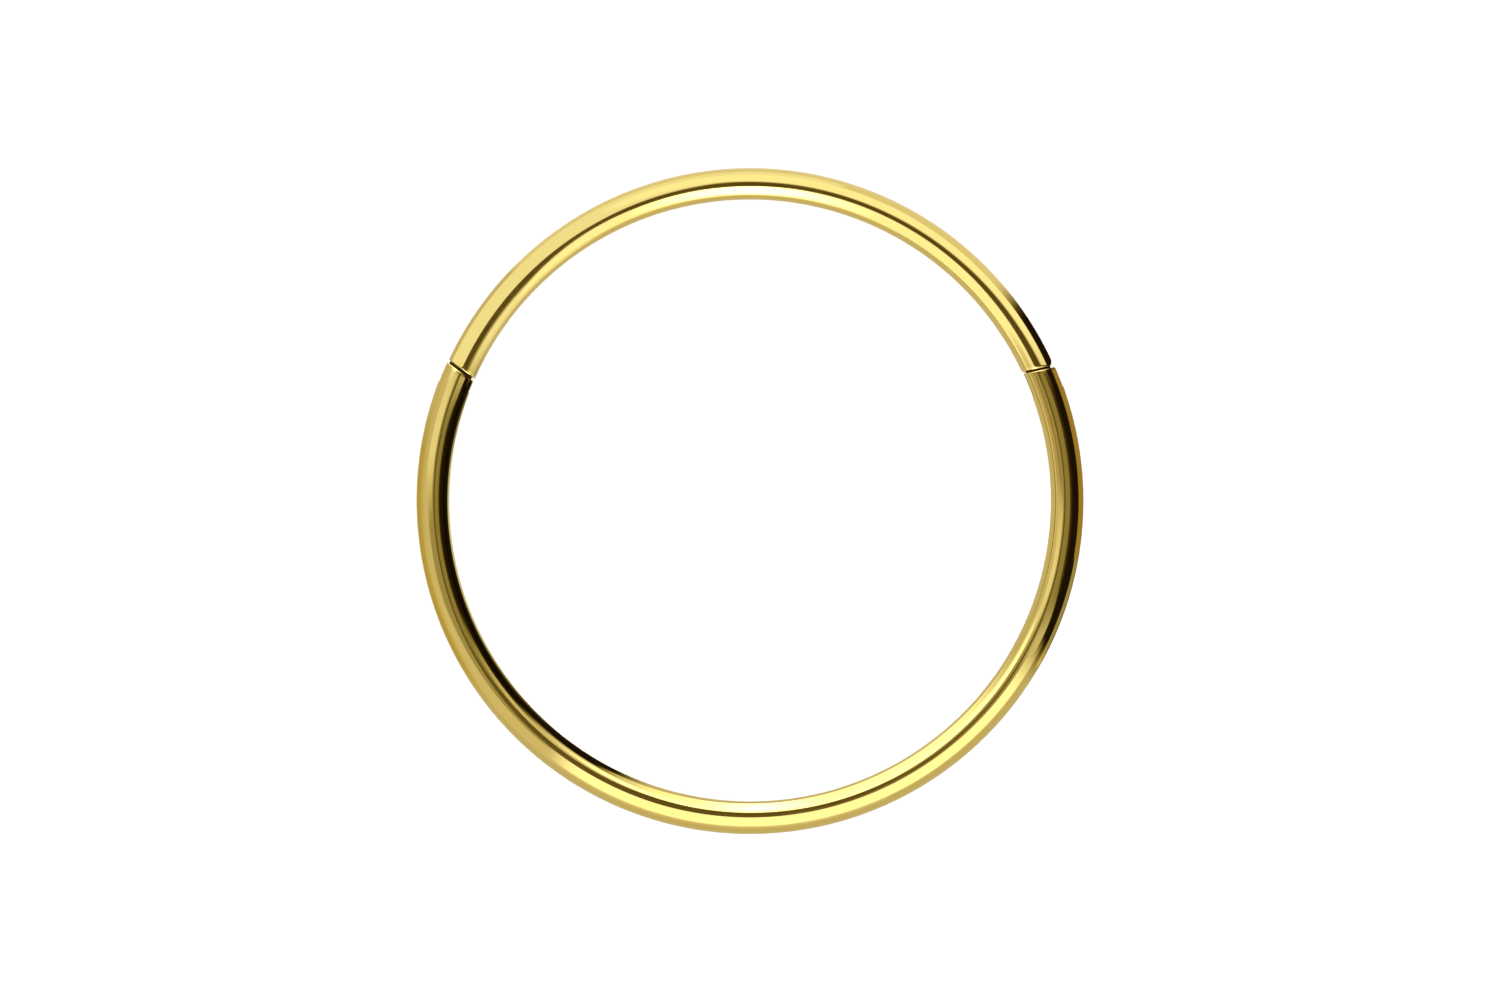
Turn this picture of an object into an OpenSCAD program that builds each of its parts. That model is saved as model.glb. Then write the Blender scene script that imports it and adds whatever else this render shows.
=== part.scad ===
// Segment clicker ring of round wire. It lies flat on its back face, with the
// origin at its centre, +Z up through the front face. +X is the hinge side.
// Angles round the ring run anticlockwise from +X, seen from the front.

/* [Wire] */
// Thickness of the body's round wire, 16 gauge
wire_d = 1.2; // [1.2:0.1:1.6]
// How much thinner polishing has left the segment's wire
segment_thinner = 0.04; // [0:0.01:0.06]
// Clear width inside the ring
inner_d = 22; // [18:0.5:26]

/* [Seams] */
// Angle round the ring at which the hinge seam crosses the wire
hinge_seam_at = 24.35; // [15:0.05:35]
// Angle round the ring at which the catch seam crosses the wire
catch_seam_at = 155.75; // [145:0.05:165]
// How far the hinge seam is turned clockwise from square to the wire
hinge_seam_lean = 12.4; // [8:0.1:16]
// How far the catch seam is turned clockwise from square to the wire
catch_seam_lean = 12.4; // [0:0.1:16]
// Gap between the closed ends, measured square to the seam
seam_gap = 0.06; // [0.05:0.01:0.1]
// Size of the polished-off edge round each end
edge_break = 0.05; // [0.02:0.01:0.08]

/* [Hinge] */
// Diameter of the hinge pin
pin_d = 0.24; // [0.2:0.02:0.28]
// How far the pin is from the middle of the wire, towards the outside
pin_out = 0.3; // [0.26:0.01:0.32]
// How far the pin is from the seam, measured along the wire
pin_below = 0.56; // [0.5:0.01:0.7]
// How far the blind pin reaches in front of the wire's middle plane
pin_reach = 0.34; // [0.26:0.01:0.36]
// Radial clearance of the pin in the tongue
pin_clear = 0.02; // [0.01:0.01:0.03]
// Outer diameter of the knuckle round the pin
knuckle_d = 0.52; // [0.48:0.01:0.54]
// Depth of the flat that lets the segment's outer corner clear the body
corner_trim = 0.16; // [0.12:0.01:0.2]
// Length of that flat along the wire
corner_trim_len = 0.34; // [0.3:0.01:0.5]
// Slope of the tongue's heel, from the knuckle to the tongue's inner side
heel_slope = 30; // [20:1:40]

/* [Tongues and slots] */
// Thickness of the two tongues, across the ring's plane
tongue_t = 0.36; // [0.3:0.02:0.4]
// Width of the two saw slots that take them
slot_w = 0.4; // [0.36:0.02:0.46]
// How far the catch tongue reaches past its shoulder
catch_len = 0.6; // [0.4:0.05:0.8]
// Diameter of the catch tongue's round nose
catch_nose_d = 0.96; // [0.5:0.02:1]
// Room left between a tongue's end and the floor of its slot
slot_room = 0.06; // [0.04:0.01:0.1]

/* [Hidden] */
$fn = 96;

gold = "#d9b457";
wire_r = wire_d / 2;
segment_r = (wire_d - segment_thinner) / 2;
pin_r = pin_d / 2;
knuckle_r = knuckle_d / 2;
nose_r = catch_nose_d / 2;
// Radius of the wire's centreline
ring_r = inner_d / 2 + wire_r;
// Height of the prisms that cut the wire, and how far they reach past the seams
cut_h = 2 * wire_d;
reach = 3 * ring_r;
// Angle round the ring at which the pin stands
pin_at = hinge_seam_at - pin_below / ring_r * 180 / PI;
// Length of the conical collar that breaks an end's edge
collar_l = 0.08;
// How far a tongue is rooted in the segment
root = 0.5;
// The hinge tongue's sides, kept inside the flat face of its shoulder
neck_in = wire_r - 2 * edge_break;
neck_out = wire_r - corner_trim - 0.04;

// Children stand on the wire's centreline: x points out of the ring, y anticlockwise along the wire
module on_wire(angle) {
    rotate([0, 0, angle]) translate([ring_r, 0, 0]) children();
}

// The same place, turned so that x runs along the seam and y is square to it
module on_hinge_seam() {
    on_wire(hinge_seam_at) rotate([0, 0, -hinge_seam_lean]) children();
}

module on_catch_seam() {
    on_wire(catch_seam_at) rotate([0, 0, -catch_seam_lean]) children();
}

// A full ring of wire of radius r, centred on the plane z = 0, with the ring's clear width inside
module wire_ring(r) {
    rotate_extrude() translate([inner_d / 2 + r, 0]) circle(r = r);
}

// Cutting prism through the whole thickness, from a flat shape
module through_cut() {
    translate([0, 0, -cut_h / 2]) linear_extrude(height = cut_h) children();
}

// Slab as thick as a tongue or as wide as a slot, from a flat shape
module slab(t) {
    translate([0, 0, -t / 2]) linear_extrude(height = t) children();
}

// Flat region between the two seams that holds the segment, grown by a margin
module segment_zone(margin) {
    intersection() {
        on_hinge_seam() translate([-reach, -margin]) square([2 * reach, 2 * reach]);
        on_catch_seam() translate([-reach, margin - 2 * reach]) square([2 * reach, 2 * reach]);
    }
}

// What polishing takes off the edge of a wire end that faces +y and stands at y = 0
module end_edge(r) {
    flare_r = r + collar_l - edge_break;
    translate([r - wire_r, 0, 0]) rotate([90, 0, 0]) difference() {
        cylinder(h = collar_l, r = flare_r + edge_break);
        cylinder(h = collar_l, r1 = r - edge_break, r2 = flare_r);
    }
}

// Flat outline of the hinge tongue: a knuckle round the pin, a neck up into the shoulder,
// and a heel that leaves the knuckle at a tangent and slopes up to the inner side
module hinge_tongue_outline() {
    heel = [pin_out - knuckle_r * sin(heel_slope), -knuckle_r * cos(heel_slope)];
    top = pin_below + root;
    on_wire(pin_at) {
        translate([pin_out, 0]) circle(r = knuckle_r);
        polygon([
            [-neck_in, top],
            [neck_out, top],
            [neck_out, 0],
            [pin_out, 0],
            heel,
            [-neck_in, heel.y + (heel.x + neck_in) * tan(heel_slope)]
        ]);
    }
}

// Flat outline of the catch tongue: parallel sides and a round nose
module catch_tongue_outline() {
    on_wire(catch_seam_at) {
        translate([-nose_r, -root]) square([2 * nose_r, root + catch_len - nose_r]);
        translate([0, catch_len - nose_r]) circle(r = nose_r);
    }
}

// Saw slot in the body's hinge end, open at both sides of the wire
module hinge_slot() {
    slot_l = knuckle_r + slot_room + pin_below + root;
    slab(slot_w) on_wire(pin_at)
        translate([-wire_d, -knuckle_r - slot_room]) square([2 * wire_d, slot_l]);
}

// Saw slot in the body's catch end, open at both sides of the wire
module catch_slot() {
    slab(slot_w) on_wire(catch_seam_at)
        translate([-wire_d, -root]) square([2 * wire_d, root + catch_len + slot_room]);
}

// Straight run for the pin, from the back of the ring to its blind end
module pin_run(r) {
    on_wire(pin_at) translate([pin_out, 0, -wire_d]) cylinder(h = wire_d + pin_reach, r = r);
}

module ring_body() {
    color(gold) translate([0, 0, wire_r]) difference() {
        wire_ring(wire_r);
        through_cut() segment_zone(seam_gap / 2);
        on_hinge_seam() translate([0, -seam_gap / 2, 0]) end_edge(wire_r);
        on_catch_seam() translate([0, seam_gap / 2, 0]) mirror([0, 1, 0]) end_edge(wire_r);
        hinge_slot();
        catch_slot();
        pin_run(pin_r);
    }
}

// The segment's wire between its two shoulders, with a flat on the outer corner at the hinge
module segment_wire() {
    difference() {
        intersection() {
            wire_ring(segment_r);
            through_cut() segment_zone(-seam_gap / 2);
        }
        on_hinge_seam() translate([0, seam_gap / 2, 0]) mirror([0, 1, 0]) end_edge(segment_r);
        on_catch_seam() translate([0, -seam_gap / 2, 0]) end_edge(segment_r);
        through_cut() on_hinge_seam() translate([0, seam_gap / 2]) polygon([
            [wire_r - corner_trim, 0],
            [wire_r + corner_trim, 2 * corner_trim_len],
            [wire_r + corner_trim, 0]
        ]);
    }
}

module hinged_segment() {
    color(gold) translate([0, 0, wire_r]) difference() {
        union() {
            segment_wire();
            slab(tongue_t) hinge_tongue_outline();
            slab(tongue_t) catch_tongue_outline();
        }
        pin_run(pin_r + pin_clear);
    }
}

module hinge_pin() {
    color(gold) translate([0, 0, wire_r]) intersection() {
        wire_ring(wire_r);
        pin_run(pin_r);
    }
}

ring_body();
hinged_segment();
hinge_pin();
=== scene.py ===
import math

import bmesh
import bpy
from mathutils import Matrix, Vector


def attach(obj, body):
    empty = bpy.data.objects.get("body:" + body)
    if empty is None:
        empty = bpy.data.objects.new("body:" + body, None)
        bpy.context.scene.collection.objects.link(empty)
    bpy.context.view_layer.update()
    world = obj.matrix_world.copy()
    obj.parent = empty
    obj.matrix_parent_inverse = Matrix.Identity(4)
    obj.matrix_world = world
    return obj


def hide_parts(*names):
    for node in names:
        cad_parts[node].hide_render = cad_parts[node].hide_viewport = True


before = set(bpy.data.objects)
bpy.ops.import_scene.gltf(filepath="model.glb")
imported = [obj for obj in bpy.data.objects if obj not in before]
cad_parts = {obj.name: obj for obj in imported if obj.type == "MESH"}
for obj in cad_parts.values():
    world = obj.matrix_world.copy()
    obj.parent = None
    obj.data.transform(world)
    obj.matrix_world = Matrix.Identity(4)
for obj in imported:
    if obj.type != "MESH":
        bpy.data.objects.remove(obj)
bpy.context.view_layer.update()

# Sizes of the ring, in millimetres. They are those of the solids, except that the catch gap and
# the rounding of the ends follow the photo more closely.
MM = 0.001
WIRE_R = 0.6
SEGMENT_WIRE_R = 0.58
INNER_R = 11.0
RING_R = INNER_R + WIRE_R
# Where each seam crosses the wire, and how far it is turned clockwise from square, in degrees
HINGE_SEAM = (24.35, 12.4)
CATCH_SEAM = (155.75, 12.4)
HINGE_GAP = 0.06
CATCH_GAP = 0.1
# How far each end's rounding reaches along the wire, and into it
EDGE = (0.04, 0.04)
SEGMENT_EDGE_AT_HINGE = (0.1, 0.08)
# The segment's outer corner at the hinge is laid back: how deep, how long, and how softly
CORNER_TRIM = 0.16
CORNER_TRIM_LEN = 0.34
CORNER_SOFT = 0.035
# Half the thickness of slots and tongues, the room at a slot's floor, how deep a tongue is rooted
# in the segment, and the rounding of its edges
SLOT_HALF = 0.2
TONGUE_HALF = 0.18
SLOT_ROOM = 0.06
ROOT = 0.5
TONGUE_EDGE = 0.02
# The pin: its place out from the wire's middle and below the seam, how far it reaches over the
# wire's middle, and the rounding of its ends
PIN_R = 0.12
PIN_CLEAR = 0.02
PIN_OUT = 0.3
PIN_BELOW = 0.56
PIN_REACH = 0.34
PIN_EDGE = 0.012
# The hinge tongue: its knuckle, the slope of its heel in degrees, and the two sides of its neck
KNUCKLE_R = 0.26
HEEL_SLOPE = 30
NECK_IN = 0.5
NECK_OUT = 0.4
# The catch tongue
CATCH_LEN = 0.6
NOSE_R = 0.48
# How far the polishing reaches into the joints, past which the sawn coat carries painted shade, and the
# size of the saw marks past it
POLISHED_UNSHADED_DEPTH = 0.07
SAW_MARK = 0.03

# The camera looks straight down on the ring, from this far over the middle of its wire. So much
# of the ring's plane fills its frame from side to side.
CAMERA_OVER = 250
FRAME_WIDTH = 54.85
SENSOR_WIDTH = 36
CLIP_NEAR = 5
CLIP_FAR = 5000
FLOOR_HALF = 800

# Colours of the coat, where it is warmest and where it is greenest
GOLD_WARM = "#f7d16e"
GOLD_GREEN = "#f6d679"
# The coat over sawn steel, darkened with painted shade for the joints' hollows, and the paper, each from
# its darkest to its palest
SAWN_PAINTED_SHADE_DARK = "#3f2e14"
SAWN_PAINTED_SHADE_PALE = "#7a5c33"
PAPER_DARK = "#f6f6f5"
PAPER_PALE = "#f9f9f8"
# The room's light, and what passes a film where it is clear
UNTINTED = "#ffffff"

# The tent of soft panels over the ring, in millimetres. The segment's is a little larger than the
# body's, so that their walls don't touch.
TENT_R = 80
TENT_HEIGHT = 45
SEGMENT_TENT_GROWN = 1.03
TENT_SIDES = 96
# The tents' brightness where no panel shines
DARKEST = 0.0125
# Brightness of the white room, which lights the paper alone
ROOM_LIGHT = 2
# Colour of the studio's light by its brightness: warm in its dim corners, and daylight in its lamps
LIGHT_COLOURS = (
    (0.0, "#ffd495"),
    (0.16, "#fff6a4"),
    (0.45, "#fbfff1"),
    (0.7, "#f8fcff"),
    (1.3, "#dae8ff"),
)
# Each panel: brightness, middle and half width round the ring and side fade in degrees, upper
# edge from the axis in millimetres, its direction in degrees and its fade, lowest point and fade.
# A negative last fade makes it the highest point instead. The numbers are fitted to the lights
# and darks that the real ring mirrors, as its studio isn't known.
BODY_PANELS = (
    # roof with the camera's opening, its grey east part, and its grey and paler parts in the west
    (0.12, 0, 180, 1, -90, 0, 1, 36.2, 39.6),
    (0.29, 0, 69.5, 3, 0.4, -48.5, 2.2, 31, 4.5),
    (0.37, 173, 72.5, 32, 6.5, 180.9, 2.2, 70, 30),
    (0.68, 180, 71, 36, 33, 174.1, 2, 91.5, 15.1),
    (0.73, 159.6, 25.1, 26.8, 19.6, 172.7, 6.4, 60, 13.7),
    # north softbox, its lower half, its bright middle and its grey east end
    (2.77, 104.5, 51.9, 25.8, 21, 106.8, 2.6, 68.5, 36.3),
    (2.42, 104, 39.9, 40, 37.3, 125, 14, 129.1, 40),
    (7, 92, 7, 36.6, 31.5, 74.5, 2.6, 121.4, 18.2),
    (0.75, 53.5, 23.2, 30.7, 16, 26.5, 2.2, 50.1, 9.3),
    # south softbox and its narrow east end
    (1.91, -79, 48.5, 13.2, 8.5, -86.6, 2.2, 68.5, 16.2),
    (1.17, -26, 3, 30.7, -12.7, 231.2, 2, 47.5, 4.5),
    # narrow reflector in the west, and the grey west side
    (1.09, 166.7, 13.3, 19.3, 14, 171.5, 2, 55.5, 4.2),
    (0.74, 212.3, 83.4, 2, 14.5, 265.1, 6.5, 89.6, 21.9),
    # white table, which reaches higher in the west than in the east
    (0.62, 198.9, 131.5, 9.3, -90, 0, 1, 56.5, -10),
    (0.68, 10.5, 23.5, 40, -90, 0, 1, 136.6, -16.8),
)
SEGMENT_PANELS = (
    # roof, its paler patch beside the camera's opening, and its pale part in the south
    (0.1, 0, 180, 1, -90, 0, 1, 56, 6),
    (0.37, 121.5, 2.4, 26, 8, 132, 10, 12, 22.5),
    (0.73, -114.9, 22.8, 18.7, -0.2, -120, 3, 30, 8),
    # north softbox and its end in the north west
    (1.59, 72.3, 56.7, 39.6, 22, 75.7, 11.4, 72.8, 4),
    (1.37, 116.8, 49, 10.5, 11.5, 153.9, 6.7, 98.5, 8.2),
    # south softbox, its bright middle and its east end
    (1.67, -89, 73.2, 31.1, 3.8, -128, 2.2, 96.5, 40.2),
    (5.81, -90.1, 17.5, 40, 5, -126.4, 4.5, 81.4, 39.7),
    (1.41, -43, 19, 17.3, 32.6, -63.2, 2.1, 107.9, 9.3),
    # white table, brightest in the north
    (0.64, 189.9, 148.2, 19.3, -90, 0, 1, 28.6, -39.1),
    (0.94, 88, 49.5, 8, -90, 0, 1, 34, -16.5),
)
# Low cards round the ring. Each one: radius, foot and top in millimetres, middle, half width and
# side fade in degrees. Outside the ring stand a cream card and a lower white one in the east, and
# an amber film in the west. Inside it stand a black card in the west, so that the wire doesn't
# mirror its far side there, and a grey film beside the hinge. Each film clears between the two
# heights given.
CREAM_CARD = (14, -1.6, 1.2, 7, 17, 2)
CREAM = "#fde494"
WHITE_CARD = (14, -1.6, 0.75, -20, 10, 2)
WHITE = "#fdfcdb"
PALE_CARD_LEVEL = 0.35
BLACK_CARD = (9, 0.75, 1.3, 199, 42, 3)
BLACK = "#262626"
AMBER_FILM = (14, -1.6, 2.6, 190, 23, 12)
AMBER = "#ecdf9d"
AMBER_CLEARS = (0.2, 2.6)
GREY_FILM = (9, 1.75, 4.4, 17, 15, 8)
GREY = "#e0d7cf"
GREY_CLEARS = (3.2, 4.4)

# How finely the round wire is divided: round its section, along it, along the laid back corner,
# and over the rounding of an end. The segment's last stretches have rings of their own.
SIDES = 96
RING_STEP = 0.1
FINE_STEP = 0.035
EDGE_RINGS = 8
LAST_STRETCH = 1.2
# How finely the pin, the tongues' round outlines and the studio's cards are divided
PIN_SIDES = 48
TONGUE_STEPS = 40
CARD_STEPS = 32
ROUNDING_STEPS = 3
# Edges that turn by more than so many degrees: rounded on a tongue, rounded on the pin, and
# shaded as sharp on every piece
TONGUE_RIM = 60
PIN_RIM = 40
SHARP = 35

FULL_TURN = 360


def arc_degrees(length):
    """The angle round the ring that a length along the wire's middle spans."""
    return math.degrees(length / RING_R)


PIN_AT = HINGE_SEAM[0] - arc_degrees(PIN_BELOW)
HINGE_SLOT_FLOOR = PIN_AT - arc_degrees(KNUCKLE_R + SLOT_ROOM)
CATCH_SLOT_FLOOR = CATCH_SEAM[0] + arc_degrees(CATCH_LEN + SLOT_ROOM)


def turn(degrees):
    """A turn round the ring's axis."""
    return Matrix.Rotation(math.radians(degrees), 4, "Z")


def on_wire(degrees):
    """A place on the wire: x out of the ring, y anticlockwise along the wire, z up from its middle."""
    return turn(degrees) @ Matrix.Translation((RING_R, 0, WIRE_R))


# Round wire


class Wire:
    """A run of round wire round the ring's centre, of tube radius r, spun from a disc.

    Each vertex keeps its angle round the section, so the ends can be set on their slanted seams.
    """

    def __init__(self, r, start, splits=()):
        self.r = r
        self.middle = INNER_R + r
        self.bm = bmesh.new()
        self.section = self.bm.verts.layers.float.new("section")
        disc = bmesh.ops.create_circle(self.bm, cap_ends=True, segments=SIDES, radius=r)
        for v in disc["verts"]:
            angle = math.degrees(math.atan2(v.co.y, v.co.x))
            v[self.section] = self.snapped(angle, splits)
            v.co = self.at(v[self.section], r, start)
        for height in splits:
            self.split(height)
        self.faces = list(self.bm.faces)

    def snapped(self, angle, splits):
        """The section angle, moved to a split's height where it is the vertex nearest to it."""
        spacing = FULL_TURN / SIDES
        for height in splits:
            rise = math.degrees(math.asin(height / self.r))
            for exact in (rise, 180 - rise, -180 - rise):
                if abs(angle - exact) < spacing / 2:
                    return exact
        return angle

    def split(self, height):
        """Cuts the disc across at a height, between the two vertices that lie there."""
        pair = [v for v in self.bm.verts if abs(v.co.z - WIRE_R - height) < 1e-5]
        bmesh.ops.connect_verts(self.bm, verts=pair)

    def at(self, section, tube, degrees):
        """The point at a section angle on a tube of that radius, at an angle round the ring."""
        across = self.middle + tube * math.cos(math.radians(section))
        up = WIRE_R + tube * math.sin(math.radians(section))
        around = math.radians(degrees)
        return Vector((across * math.cos(around), across * math.sin(around), up))

    def seam_angle(self, section, tube, seam, side, away):
        """Angle round the ring of that point when it lies in a plane along the seam, some way from it."""
        seam_at, lean = seam
        lean = math.radians(lean)
        across = self.middle + tube * math.cos(math.radians(section))
        swing = math.asin((RING_R * math.sin(lean) + side * away) / across) - lean
        return seam_at + math.degrees(swing)

    def spin(self, faces, degrees):
        """Carries faces round the ring's centre, and returns them at the far end."""
        steps = round(math.radians(abs(degrees)) * RING_R / RING_STEP)
        spun = bmesh.ops.spin(
            self.bm,
            geom=faces,
            cent=(0, 0, 0),
            axis=(0, 0, 1),
            angle=math.radians(degrees),
            steps=steps,
            use_duplicate=False,
        )
        return [f for f in spun["geom_last"] if isinstance(f, bmesh.types.BMFace)]

    def carry(self, faces, place):
        """One more ring on the end: extrudes the faces and puts each new vertex in its place."""
        # A dict keeps their order, which a set would change from run to run
        rims = dict.fromkeys(e for f in faces for e in f.edges)
        grown = bmesh.ops.extrude_face_region(self.bm, geom=[*faces, *rims])["geom"]
        for v in grown:
            if isinstance(v, bmesh.types.BMVert):
                v.co = place(v[self.section])
        return [f for f in grown if isinstance(f, bmesh.types.BMFace)]

    def finish_end(
        self, faces, from_angle, seam, gap, side, edge=EDGE, step=RING_STEP, slot=0, dress=None
    ):
        """Runs the faces on to a seam, where they end slanted, with their edge rounded.

        side is 1 for wire that lies anticlockwise of its seam. edge is how far the rounding
        reaches along the wire and into it, and step the distance between rings on the way there.
        slot is half the width of a slot whose walls the rounding leaves alone. dress is a last
        move for each point.
        """
        reach, depth = edge
        near = gap / 2 + reach
        length = math.radians(abs(from_angle - seam[0])) * RING_R
        count = round(length / step)
        for i in range(1, count + 1):
            share = i / count

            def straight(section):
                goal = self.seam_angle(section, self.r, seam, side, near)
                point = self.at(section, self.r, from_angle + share * (goal - from_angle))
                return dress(point, 0) if dress else point

            faces = self.carry(faces, straight)
        for i in range(1, EDGE_RINGS + 1):
            bend = math.radians(90 * i / EDGE_RINGS)
            shrink = depth * (1 - math.cos(bend))
            away = near - reach * math.sin(bend)

            def rounded(section):
                tube = self.r - shrink
                point = self.at(section, tube, self.seam_angle(section, tube, seam, side, away))
                rise = point.z - WIRE_R
                if slot and abs(rise) < slot + shrink:
                    point.z = WIRE_R + math.copysign(max(abs(rise), slot), rise)
                return dress(point, shrink) if dress else point

            faces = self.carry(faces, rounded)
        return faces


def corner_flat(point, shrink):
    """Lays the segment's outer corner at the hinge back on a flat, with a soft start.

    shrink is how far the end's own rounding has drawn the point in, and the flat follows it.
    """
    place = on_wire(HINGE_SEAM[0]) @ turn(-HINGE_SEAM[1])
    local = place.inverted() @ point
    length = math.hypot(CORNER_TRIM, CORNER_TRIM_LEN)
    square_x = CORNER_TRIM_LEN / length
    square_y = CORNER_TRIM / length
    start = WIRE_R - CORNER_TRIM
    proud = (local.x - start) * square_x - (local.y - HINGE_GAP / 2) * square_y
    proud += min(shrink, CORNER_SOFT)
    local.x -= (proud + math.hypot(proud, CORNER_SOFT)) / 2 / square_x
    return place @ local


# From a mesh to a piece


def add_object(name, data):
    """A new object of the scene."""
    thing = bpy.data.objects.new(name, data)
    bpy.context.scene.collection.objects.link(thing)
    return thing


def object_from(bm, name):
    """An object from a mesh drawn in metres."""
    mesh = bpy.data.meshes.new(name)
    bm.to_mesh(mesh)
    bm.free()
    return add_object(name, mesh)


def part_from(bm, name):
    """A smooth object from a mesh drawn in millimetres, with its faces pointing outwards."""
    bmesh.ops.recalc_face_normals(bm, faces=bm.faces)
    bmesh.ops.scale(bm, vec=(MM, MM, MM), verts=bm.verts)
    for face in bm.faces:
        face.smooth = True
    return object_from(bm, name)


def cut_or_join(part, tool, operation):
    """Applies one solid to another, and takes the tool away."""
    change = part.modifiers.new(operation.lower(), "BOOLEAN")
    change.operation = operation
    change.solver = "EXACT"
    change.object = tool
    graph = bpy.context.evaluated_depsgraph_get()
    mesh = bpy.data.meshes.new_from_object(part.evaluated_get(graph))
    part.modifiers.clear()
    part.data = mesh
    bpy.data.objects.remove(tool)


def round_rims(bm, rim, reach):
    """Rounds every edge that turns by more than rim degrees, over that reach."""
    bmesh.ops.bevel(
        bm,
        geom=[e for e in bm.edges if e.calc_face_angle(0) > math.radians(rim)],
        offset=reach,
        affect="EDGES",
        segments=ROUNDING_STEPS,
        profile=0.5,
        material=-1,
    )


def crease(part):
    """Marks the sharp edges, and lets each broad face set the shading up to them."""
    bm = bmesh.new()
    bm.from_mesh(part.data)
    for edge in bm.edges:
        edge.smooth = edge.calc_face_angle(0) < math.radians(SHARP)
    bm.to_mesh(part.data)
    bm.free()
    shading = part.modifiers.new("broad faces lead", "WEIGHTED_NORMAL")
    shading.keep_sharp = True


# The pieces


def pin_run(name, r, foot, head):
    """A straight round run along the pin's line, between two heights above the base."""
    bm = bmesh.new()
    bmesh.ops.create_cone(
        bm, cap_ends=True, segments=PIN_SIDES, radius1=r, radius2=r, depth=head - foot
    )
    place = turn(PIN_AT) @ Matrix.Translation((RING_R + PIN_OUT, 0, (head + foot) / 2))
    bmesh.ops.transform(bm, matrix=place, verts=bm.verts)
    return part_from(bm, name)


def make_ring_body():
    """The fixed arc: from slot floor to slot floor, then two cheeks on to each seam."""
    wire = Wire(WIRE_R, CATCH_SLOT_FLOOR, splits=(SLOT_HALF, -SLOT_HALF))
    last = wire.spin(wire.faces, FULL_TURN + HINGE_SLOT_FLOOR - CATCH_SLOT_FLOOR)
    first = [f for f in wire.bm.faces if is_cap(f, CATCH_SLOT_FLOOR)]
    wire.finish_end(
        cheeks(last), HINGE_SLOT_FLOOR, HINGE_SEAM, HINGE_GAP, -1, slot=SLOT_HALF
    )
    wire.finish_end(
        cheeks(first), CATCH_SLOT_FLOOR, CATCH_SEAM, CATCH_GAP, 1, slot=SLOT_HALF
    )
    body = part_from(wire.bm, "ring_body_polished")
    bore = pin_run("bore", PIN_R, -WIRE_R, WIRE_R + PIN_REACH)
    cut_or_join(body, bore, "DIFFERENCE")
    return body


def is_cap(face, degrees):
    """True for a face that lies across the wire at that angle round the ring."""
    middle = face.calc_center_median()
    around = math.degrees(math.atan2(middle.y, middle.x))
    return len(face.verts) > 4 and abs(around - degrees) < 0.1


def cheeks(faces):
    """The two D shaped faces above and below the slot."""
    return [f for f in faces if abs(f.calc_center_median().z - WIRE_R) > SLOT_HALF]


def hinge_tongue():
    """A flat tongue: a knuckle round the pin, a neck into the shoulder, and a sloping heel."""
    bm = bmesh.new()
    start = bm.verts.new(
        (NECK_OUT, math.sqrt(KNUCKLE_R**2 - (NECK_OUT - PIN_OUT) ** 2), -TONGUE_HALF)
    )
    begin = math.degrees(math.atan2(start.co.y, NECK_OUT - PIN_OUT))
    heel_at = 270 - HEEL_SLOPE
    round_off(bm, start, (PIN_OUT, 0), heel_at - FULL_TURN - begin)
    heel_x = PIN_OUT + KNUCKLE_R * math.cos(math.radians(heel_at))
    heel_y = KNUCKLE_R * math.sin(math.radians(heel_at))
    rise = (heel_x + NECK_IN) * math.tan(math.radians(HEEL_SLOPE))
    top = PIN_BELOW + ROOT
    close_with(bm, start, [(-NECK_IN, heel_y + rise), (-NECK_IN, top), (NECK_OUT, top)])
    return slab_from(bm, "hinge_tongue", on_wire(PIN_AT))


def catch_tongue():
    """A flat tongue with parallel sides and a round nose."""
    bm = bmesh.new()
    nose_y = CATCH_LEN - NOSE_R
    start = bm.verts.new((NOSE_R, nose_y, -TONGUE_HALF))
    round_off(bm, start, (0, nose_y), FULL_TURN / 2)
    close_with(bm, start, [(-NOSE_R, -ROOT), (NOSE_R, -ROOT)])
    return slab_from(bm, "catch_tongue", on_wire(CATCH_SEAM[0]))


def round_off(bm, start, centre, degrees):
    """Sweeps a start vertex round a centre, which leaves an arc of edges."""
    bmesh.ops.spin(
        bm,
        geom=[start],
        cent=(*centre, -TONGUE_HALF),
        axis=(0, 0, 1),
        angle=math.radians(degrees),
        steps=TONGUE_STEPS,
        use_duplicate=False,
    )


def close_with(bm, start, corners):
    """Joins the far end of an arc to its start through straight corners, and fills the outline."""
    bm.verts.ensure_lookup_table()
    last = next(v for v in reversed(bm.verts) if v is not start)
    for x, y in corners:
        corner = bm.verts.new((x, y, -TONGUE_HALF))
        bm.edges.new((last, corner))
        last = corner
    bm.edges.new((last, start))
    bmesh.ops.contextual_create(bm, geom=list(bm.edges))


def slab_from(bm, name, place):
    """Gives a filled outline the tongue's thickness and small rounded edges."""
    grown = bmesh.ops.extrude_face_region(bm, geom=list(bm.faces))["geom"]
    raised = [v for v in grown if isinstance(v, bmesh.types.BMVert)]
    bmesh.ops.translate(bm, vec=(0, 0, 2 * TONGUE_HALF), verts=raised)
    bmesh.ops.recalc_face_normals(bm, faces=bm.faces)
    round_rims(bm, TONGUE_RIM, TONGUE_EDGE)
    bmesh.ops.transform(bm, matrix=place, verts=bm.verts)
    return part_from(bm, name)


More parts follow.
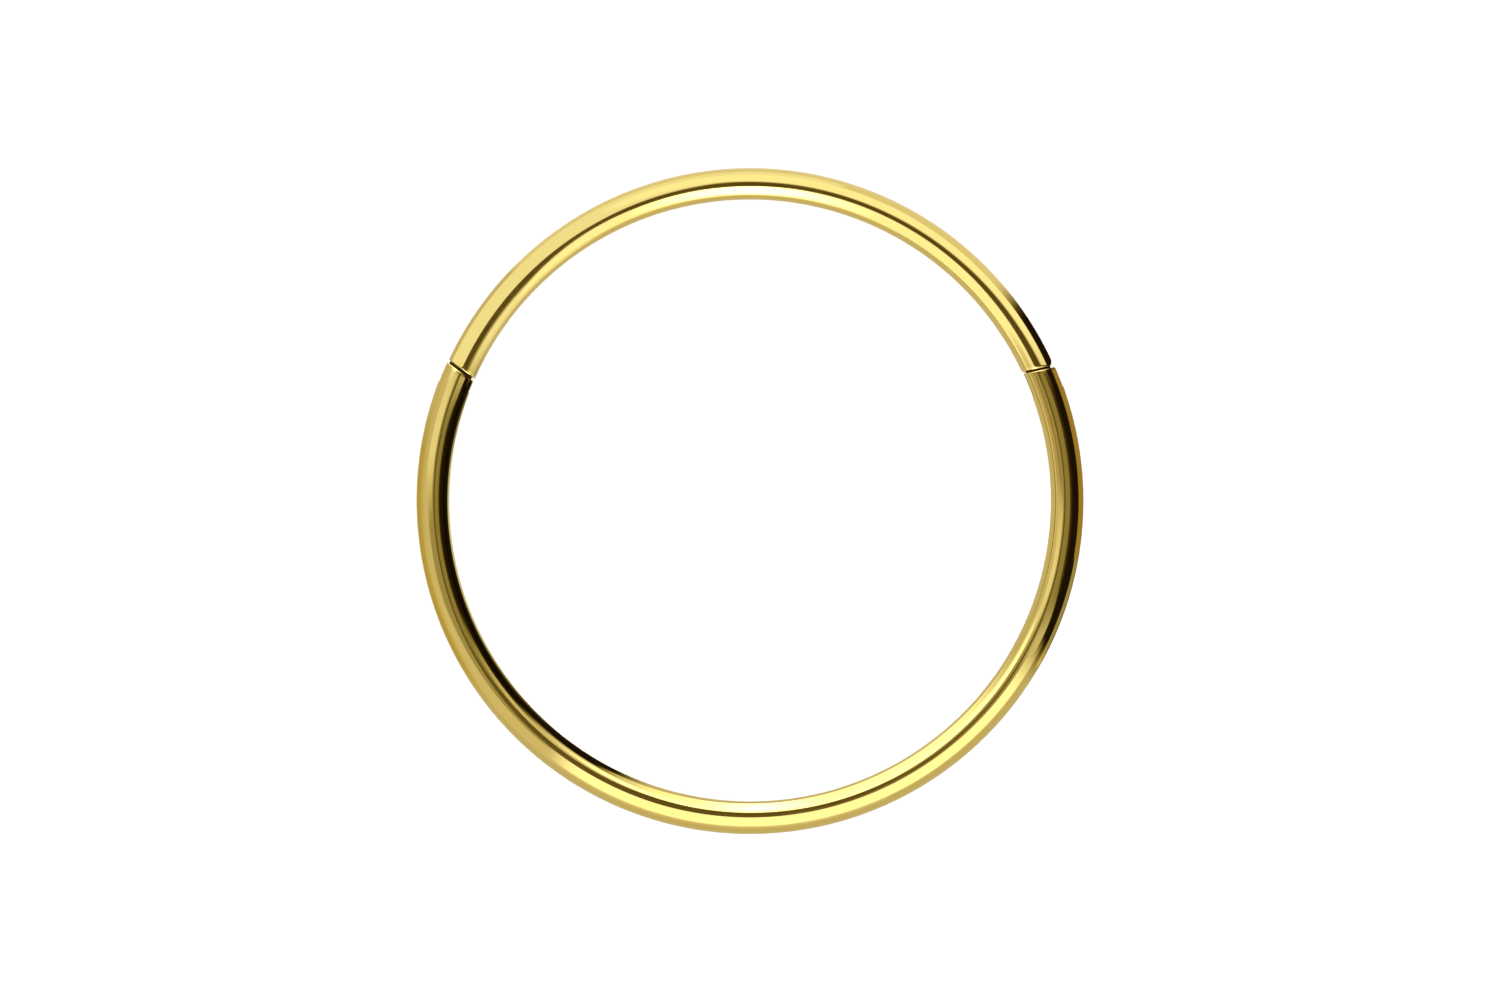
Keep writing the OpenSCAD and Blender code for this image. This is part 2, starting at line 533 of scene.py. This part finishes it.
def make_segment():
    """The arc that swings: round wire between two worked ends, with a tongue on each and a bore."""
    hinge_from = HINGE_SEAM[0] + arc_degrees(LAST_STRETCH)
    catch_from = CATCH_SEAM[0] - arc_degrees(LAST_STRETCH)
    wire = Wire(SEGMENT_WIRE_R, hinge_from)
    last = wire.spin(wire.faces, catch_from - hinge_from)
    first = [f for f in wire.bm.faces if is_cap(f, hinge_from)]
    wire.finish_end(last, catch_from, CATCH_SEAM, CATCH_GAP, -1)
    wire.finish_end(
        first,
        hinge_from,
        HINGE_SEAM,
        HINGE_GAP,
        1,
        edge=SEGMENT_EDGE_AT_HINGE,
        step=FINE_STEP,
        dress=corner_flat,
    )
    segment = part_from(wire.bm, "hinged_segment_polished")
    cut_or_join(segment, hinge_tongue(), "UNION")
    cut_or_join(segment, catch_tongue(), "UNION")
    bore = pin_run("bore", PIN_R + PIN_CLEAR, -WIRE_R, 3 * WIRE_R)
    cut_or_join(segment, bore, "DIFFERENCE")
    return segment


def make_pin():
    """The pin, with its foot ground flush with the wire and both ends rounded off."""
    pin = pin_run("hinge_pin_pressed", PIN_R, -WIRE_R, WIRE_R + PIN_REACH)
    beside = arc_degrees(4 * PIN_R)
    wire = Wire(WIRE_R, PIN_AT - beside)
    wire.spin(wire.faces, 2 * beside)
    cut_or_join(pin, part_from(wire.bm, "wire_round_pin"), "INTERSECT")
    bm = bmesh.new()
    bm.from_mesh(pin.data)
    round_rims(bm, PIN_RIM, PIN_EDGE * MM)
    bm.to_mesh(pin.data)
    bm.free()
    return pin


# Finishes


def linear(code):
    """Linear colour from an sRGB hex value."""
    parts = [int(code[i : i + 2], 16) / 255 for i in (1, 3, 5)]
    curve = [c / 12.92 if c <= 0.04045 else ((c + 0.055) / 1.055) ** 2.4 for c in parts]
    return (*curve, 1.0)


def add_node(tree, kind, settings=None, inputs=None):
    """Adds a node, sets its properties, and fills its inputs with values or links."""
    node = tree.nodes.new(kind)
    for name, value in (settings or {}).items():
        setattr(node, name, value)
    for name, value in (inputs or {}).items():
        if isinstance(value, bpy.types.NodeSocket):
            tree.links.new(value, node.inputs[name])
        else:
            node.inputs[name].default_value = value
    return node


def new_material(name):
    """An empty material, its node tree and its output."""
    material = bpy.data.materials.new(name)
    material.use_nodes = True
    material.node_tree.nodes.clear()
    output = add_node(material.node_tree, "ShaderNodeOutputMaterial")
    return material, material.node_tree, output


def make_gold():
    """Surgical steel, mirror polished and coated gold in vapour.

    The eye gets a bright, slightly greenish gold, with the thinnest of polishing lines along
    the wire and a haze that comes and goes where the buffing wheel has passed.
    """
    material, tree, output = new_material("polished_steel_gold_vapour_coat")
    spot = add_node(tree, "ShaderNodeTexCoord").outputs["Object"]
    axes = add_node(tree, "ShaderNodeSeparateXYZ", inputs={0: spot}).outputs
    flat = add_node(
        tree, "ShaderNodeVectorMath", {"operation": "MULTIPLY"}, {0: spot, 1: (1, 1, 0)}
    )
    out = add_node(
        tree, "ShaderNodeVectorMath", {"operation": "LENGTH"}, {0: flat.outputs[0]}
    )

    # The coat's colour drifts a little, in patches of this size
    patch = 5 * MM
    drift = add_node(
        tree, "ShaderNodeTexNoise", inputs={"Vector": spot, "Scale": 1 / patch, "Detail": 2.0}
    )
    colour = add_node(
        tree,
        "ShaderNodeMix",
        {"data_type": "RGBA"},
        {0: drift.outputs["Fac"], 6: linear(GOLD_WARM), 7: linear(GOLD_GREEN)},
    )

    # Haze of the buffing, in patches of this size, between a brighter and a duller polish
    haze = 1.5 * MM
    bright, dull = 0.05, 0.1
    # The noise seldom leaves this range
    least, most = 0.35, 0.65
    buffed = add_node(
        tree, "ShaderNodeTexNoise", inputs={"Vector": spot, "Scale": 1 / haze, "Detail": 3.0}
    )
    rough = add_node(
        tree,
        "ShaderNodeMapRange",
        inputs={0: buffed.outputs["Fac"], 1: least, 2: most, 3: bright, 4: dull},
    )

    # Polishing lines along the wire: how far apart, coarser than the real ones so that they
    # show, how long and how deep
    line_spacing = 0.08 * MM
    line_length = 4 * MM
    line_depth = 0.00012 * MM
    across = 1 / line_spacing
    along = 1 / line_length
    run = add_node(
        tree,
        "ShaderNodeCombineXYZ",
        inputs={0: out.outputs["Value"], 1: axes["X"], 2: axes["Y"]},
    )
    stretched = add_node(
        tree,
        "ShaderNodeVectorMath",
        {"operation": "MULTIPLY"},
        {0: run.outputs[0], 1: (across, along, along)},
    )
    height = add_node(
        tree, "ShaderNodeMath", {"operation": "MULTIPLY"}, {0: axes["Z"], 1: across}
    )
    lines = add_node(
        tree,
        "ShaderNodeTexNoise",
        {"noise_dimensions": "4D"},
        {"Vector": stretched.outputs[0], "W": height.outputs[0], "Scale": 1.0, "Detail": 1.0},
    )
    # The wheel leaves the wire a little wavy: how long and how deep the waves are
    wave_length = 3 * MM
    wave_depth = 0.02 * MM
    waves = add_node(
        tree, "ShaderNodeTexNoise", inputs={"Vector": spot, "Scale": 1 / wave_length, "Detail": 0.0}
    )
    wavy = add_node(
        tree,
        "ShaderNodeBump",
        inputs={"Strength": 1.0, "Distance": wave_depth, "Height": waves.outputs["Fac"]},
    )
    relief = add_node(
        tree,
        "ShaderNodeBump",
        inputs={
            "Strength": 1.0,
            "Distance": line_depth,
            "Height": lines.outputs["Fac"],
            "Normal": wavy.outputs[0],
        },
    )
    surface = add_node(
        tree,
        "ShaderNodeBsdfPrincipled",
        inputs={
            "Base Color": colour.outputs[2],
            "Metallic": 1.0,
            "Roughness": rough.outputs[0],
            "Normal": relief.outputs[0],
        },
    )
    tree.links.new(surface.outputs[0], output.inputs["Surface"])
    return material


def make_sawn_gold_painted_shade():
    """The same coat inside the joints, over steel as the saw left it, with painted shade darkening its
    colour.

    The eye gets a dull, darker gold, partly painted shade, and a dark line where the closed ends meet,
    deepened by painted shade.
    """
    material, tree, output = new_material("sawn_steel_gold_coat_painted_shade")
    spot = add_node(tree, "ShaderNodeTexCoord").outputs["Object"]

    # Saw marks, a few hundredths of a millimetre apart, and a few thousandths deep
    mark_depth = 0.004 * MM
    marks = add_node(
        tree,
        "ShaderNodeTexNoise",
        inputs={"Vector": spot, "Scale": 1 / (SAW_MARK * MM), "Detail": 2.0},
    )
    # The sawn coat's own duller gold, darkened further with painted shade for the joints' hollows
    colour = add_node(
        tree,
        "ShaderNodeMix",
        {"data_type": "RGBA"},
        {0: marks.outputs["Fac"], 6: linear(SAWN_PAINTED_SHADE_DARK), 7: linear(SAWN_PAINTED_SHADE_PALE)},
    )
    relief = add_node(
        tree,
        "ShaderNodeBump",
        inputs={"Strength": 1.0, "Distance": mark_depth, "Height": marks.outputs["Fac"]},
    )
    surface = add_node(
        tree,
        "ShaderNodeBsdfPrincipled",
        inputs={
            "Base Color": colour.outputs[2],
            "Metallic": 1.0,
            "Roughness": 0.5,
            "Normal": relief.outputs[0],
        },
    )
    tree.links.new(surface.outputs[0], output.inputs["Surface"])
    return material


def make_paper():
    """White photographer's paper, uncoated.

    The eye gets an even, matt and very pale ground, with a faint mottle of its fibres.
    """
    material, tree, output = new_material("matt_white_paper")
    spot = add_node(tree, "ShaderNodeTexCoord").outputs["Object"]
    mottle = 0.8 * MM
    fibres = add_node(
        tree, "ShaderNodeTexNoise", inputs={"Vector": spot, "Scale": 1 / mottle, "Detail": 3.0}
    )
    colour = add_node(
        tree,
        "ShaderNodeMix",
        {"data_type": "RGBA"},
        {0: fibres.outputs["Fac"], 6: linear(PAPER_DARK), 7: linear(PAPER_PALE)},
    )
    surface = add_node(
        tree,
        "ShaderNodeBsdfPrincipled",
        inputs={"Base Color": colour.outputs[2], "Roughness": 0.9},
    )
    tree.links.new(surface.outputs[0], output.inputs["Surface"])
    return material


def finish_piece(part, node, body, finishes):
    """Coats a piece, polished outside and sawn with painted shade in its joints, hides its solid, and
    ties it to its body.
    """
    part.data.materials.clear()
    for finish in finishes:
        part.data.materials.append(finish)
    for face in part.data.polygons:
        middle = face.center / MM
        across = math.hypot(middle.x, middle.y) - RING_R
        depth = WIRE_R - math.hypot(across, middle.z - WIRE_R)
        # Faces deeper than this take the sawn coat, darkened with painted shade
        face.material_index = int(depth > POLISHED_UNSHADED_DEPTH)
    crease(part)
    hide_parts(node)
    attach(part, body)
    return part


# Studio


def round_ring(degrees):
    """The level direction at an angle round the ring."""
    around = math.radians(degrees)
    return (math.cos(around), math.sin(around), 0)


def angle_between(tree, way, aim):
    """The angle between the way to a place and a fixed direction."""
    unit = add_node(tree, "ShaderNodeVectorMath", {"operation": "NORMALIZE"}, {0: way})
    share = add_node(
        tree, "ShaderNodeVectorMath", {"operation": "DOT_PRODUCT"}, {0: unit.outputs[0], 1: aim}
    )
    return add_node(
        tree, "ShaderNodeMath", {"operation": "ARCCOSINE"}, {0: share.outputs["Value"]}
    ).outputs[0]


def panel_light(tree, spot, level, middle, half, side_soft, edge, edge_at, edge_soft, low, low_soft):
    """Brightness of one soft panel on the tent, at each point of its wall.

    middle and half say where it stands round the ring, in degrees. Its upper edge is straight
    across the roof, edge millimetres from the ring's axis in the direction edge_at. It ends low
    degrees down from straight above. The soft values are the widths of its fading edges.
    """
    flat = add_node(
        tree, "ShaderNodeVectorMath", {"operation": "MULTIPLY"}, {0: spot, 1: (1, 1, 0)}
    ).outputs[0]
    aside = angle_between(tree, flat, round_ring(middle))
    down = angle_between(tree, spot, (0, 0, 1))
    out = add_node(
        tree, "ShaderNodeVectorMath", {"operation": "DOT_PRODUCT"}, {0: flat, 1: round_ring(edge_at)}
    ).outputs["Value"]
    light = level
    # The panel lies past a limit with a positive fade, and before one with a negative fade
    for value, limit, soft in (
        (aside, math.radians(half), -math.radians(side_soft)),
        (down, math.radians(low), -math.radians(low_soft)),
        (out, edge * MM, edge_soft * MM),
    ):
        inside = add_node(
            tree,
            "ShaderNodeMapRange",
            {"interpolation_type": "SMOOTHSTEP"},
            {0: value, 1: limit - soft / 2, 2: limit + soft / 2},
        )
        light = add_node(
            tree, "ShaderNodeMath", {"operation": "MULTIPLY"}, {0: light, 1: inside.outputs[0]}
        ).outputs[0]
    return light


def add_glow(material, tree, output, colour, strength):
    """Light of a given colour and strength, added to whatever is behind it."""
    glow = add_node(tree, "ShaderNodeEmission", inputs={"Color": colour, "Strength": strength})
    clear = add_node(tree, "ShaderNodeBsdfTransparent")
    both = add_node(
        tree, "ShaderNodeAddShader", inputs={0: glow.outputs[0], 1: clear.outputs[0]}
    )
    tree.links.new(both.outputs[0], output.inputs["Surface"])
    material.cycles.emission_sampling = "NONE"


def finish_light(material, tree, output, strength):
    """Light of a given strength, coloured by it."""
    brightest = LIGHT_COLOURS[-1][0]
    share = add_node(tree, "ShaderNodeMath", {"operation": "DIVIDE"}, {0: strength, 1: brightest})
    ramp = add_node(tree, "ShaderNodeValToRGB", inputs={0: share.outputs[0]})
    stops = ramp.color_ramp.elements
    stops.remove(stops[-1])
    for level, code in LIGHT_COLOURS:
        stop = stops.new(level / brightest) if level else stops[0]
        stop.color = linear(code)
    add_glow(material, tree, output, ramp.outputs[0], strength)


def stage_light(name, bm, material, lit):
    """A shape of the studio that only shows in polished metal, and only lights some pieces."""
    light = object_from(bm, name)
    light.data.materials.append(material)
    light.visible_camera = False
    light.visible_diffuse = False
    light.visible_shadow = False
    receivers = bpy.data.collections.new(name + "_lights")
    for piece in lit:
        receivers.objects.link(piece)
    light.light_linking.receiver_collection = receivers


def light_tent(name, panels, lit, grow=1.0):
    """A small tent of soft panels over the ring, which shines on some of its pieces only.

    The rays of the camera pass through it, and it shows in the polished metal alone.
    """
    material, tree, output = new_material(name)
    spot = add_node(tree, "ShaderNodeTexCoord").outputs["Object"]
    total = DARKEST
    for panel in panels:
        light = panel_light(tree, spot, *panel)
        total = add_node(
            tree, "ShaderNodeMath", {"operation": "MAXIMUM"}, {0: total, 1: light}
        ).outputs[0]
    finish_light(material, tree, output, total)

    bm = bmesh.new()
    bmesh.ops.create_uvsphere(bm, u_segments=TENT_SIDES, v_segments=TENT_SIDES // 2, radius=1)
    size = (grow * TENT_R * MM, grow * TENT_R * MM, grow * TENT_HEIGHT * MM)
    bmesh.ops.scale(bm, vec=size, verts=bm.verts)
    stage_light(name, bm, material, lit)


def card_fade(tree, middle, half, soft):
    """1 along a card that stands round the ring, and 0 past its two soft ends."""
    spot = add_node(tree, "ShaderNodeTexCoord").outputs["Object"]
    flat = add_node(
        tree, "ShaderNodeVectorMath", {"operation": "MULTIPLY"}, {0: spot, 1: (1, 1, 0)}
    )
    aside = angle_between(tree, flat.outputs[0], round_ring(middle))
    outer = math.radians(half + soft / 2)
    inner = math.radians(half - soft / 2)
    return add_node(
        tree,
        "ShaderNodeMapRange",
        {"interpolation_type": "SMOOTHSTEP"},
        {0: aside, 1: outer, 2: inner},
    ).outputs[0]


def card_strip(radius, foot, top, middle, half, soft):
    """The card itself: a strip bent round the ring's axis."""
    bm = bmesh.new()
    low = bm.verts.new((radius, 0, foot))
    high = bm.verts.new((radius, 0, top))
    side = bm.edges.new((low, high))
    reach = half + soft
    bmesh.ops.rotate(bm, matrix=turn(middle - reach), verts=[low, high])
    bmesh.ops.spin(
        bm,
        geom=[low, high, side],
        axis=(0, 0, 1),
        angle=math.radians(2 * reach),
        steps=CARD_STEPS,
    )
    bmesh.ops.scale(bm, vec=(MM, MM, MM), verts=bm.verts)
    return bm


def pale_card(name, card, colour, lit):
    """A low pale card, seen in the wire's outer flank alone."""
    material, tree, output = new_material(name)
    strength = add_node(
        tree,
        "ShaderNodeMath",
        {"operation": "MULTIPLY"},
        {0: card_fade(tree, *card[3:]), 1: PALE_CARD_LEVEL},
    )
    add_glow(material, tree, output, linear(colour), strength.outputs[0])
    stage_light(name, card_strip(*card), material, lit)


def clear_card(name, card, colour, lit, clears=None):
    """A low card that gives its colour to all that the wire mirrors through it.

    clears are the heights between which it fades to clear, if it does.
    """
    material, tree, output = new_material(name)
    tint = card_fade(tree, *card[3:])
    if clears:
        spot = add_node(tree, "ShaderNodeTexCoord").outputs["Object"]
        height = add_node(tree, "ShaderNodeSeparateXYZ", inputs={0: spot}).outputs["Z"]
        full, none = clears
        fade = add_node(
            tree, "ShaderNodeMapRange", inputs={0: height, 1: full * MM, 2: none * MM, 3: 1.0, 4: 0.0}
        )
        tint = add_node(
            tree, "ShaderNodeMath", {"operation": "MULTIPLY"}, {0: tint, 1: fade.outputs[0]}
        ).outputs[0]
    passed = add_node(
        tree,
        "ShaderNodeMix",
        {"data_type": "RGBA"},
        {0: tint, 6: linear(UNTINTED), 7: linear(colour)},
    )
    film = add_node(tree, "ShaderNodeBsdfTransparent", inputs={"Color": passed.outputs[2]})
    tree.links.new(film.outputs[0], output.inputs["Surface"])
    stage_light(name, card_strip(*card), material, lit)


# The scene

finishes = (make_gold(), make_sawn_gold_painted_shade())
ring_body = finish_piece(make_ring_body(), "ring_body", "ring", finishes)
segment = finish_piece(make_segment(), "hinged_segment", "segment", finishes)
pin = finish_piece(make_pin(), "hinge_pin", "ring", finishes)

paper = bmesh.new()
bmesh.ops.create_grid(paper, x_segments=1, y_segments=1, size=FLOOR_HALF * MM)
floor = object_from(paper, "floor")
floor.data.materials.append(make_paper())
floor.visible_glossy = False

light_tent("tent_over_body", BODY_PANELS, [ring_body, pin])
light_tent("tent_over_segment", SEGMENT_PANELS, [segment], grow=SEGMENT_TENT_GROWN)
pale_card("cream_card", CREAM_CARD, CREAM, [ring_body])
pale_card("white_card", WHITE_CARD, WHITE, [ring_body])
clear_card("black_card", BLACK_CARD, BLACK, [ring_body])
clear_card("amber_film", AMBER_FILM, AMBER, [ring_body], AMBER_CLEARS)
clear_card("grey_film", GREY_FILM, GREY, [ring_body], GREY_CLEARS)

world = bpy.data.worlds.new("white_room")
world.use_nodes = True
backdrop = world.node_tree.nodes["Background"]
backdrop.inputs["Color"].default_value = linear(UNTINTED)
backdrop.inputs["Strength"].default_value = ROOM_LIGHT
world.cycles_visibility.glossy = False
bpy.context.scene.world = world
bpy.context.scene.view_settings.view_transform = "Standard"

camera = add_object("camera", bpy.data.cameras.new("camera"))
camera.data.sensor_width = SENSOR_WIDTH
camera.data.lens = SENSOR_WIDTH * CAMERA_OVER / FRAME_WIDTH
camera.data.clip_start = CLIP_NEAR * MM
camera.data.clip_end = CLIP_FAR * MM
camera.location = (0, 0, (WIRE_R + CAMERA_OVER) * MM)
bpy.context.scene.camera = camera
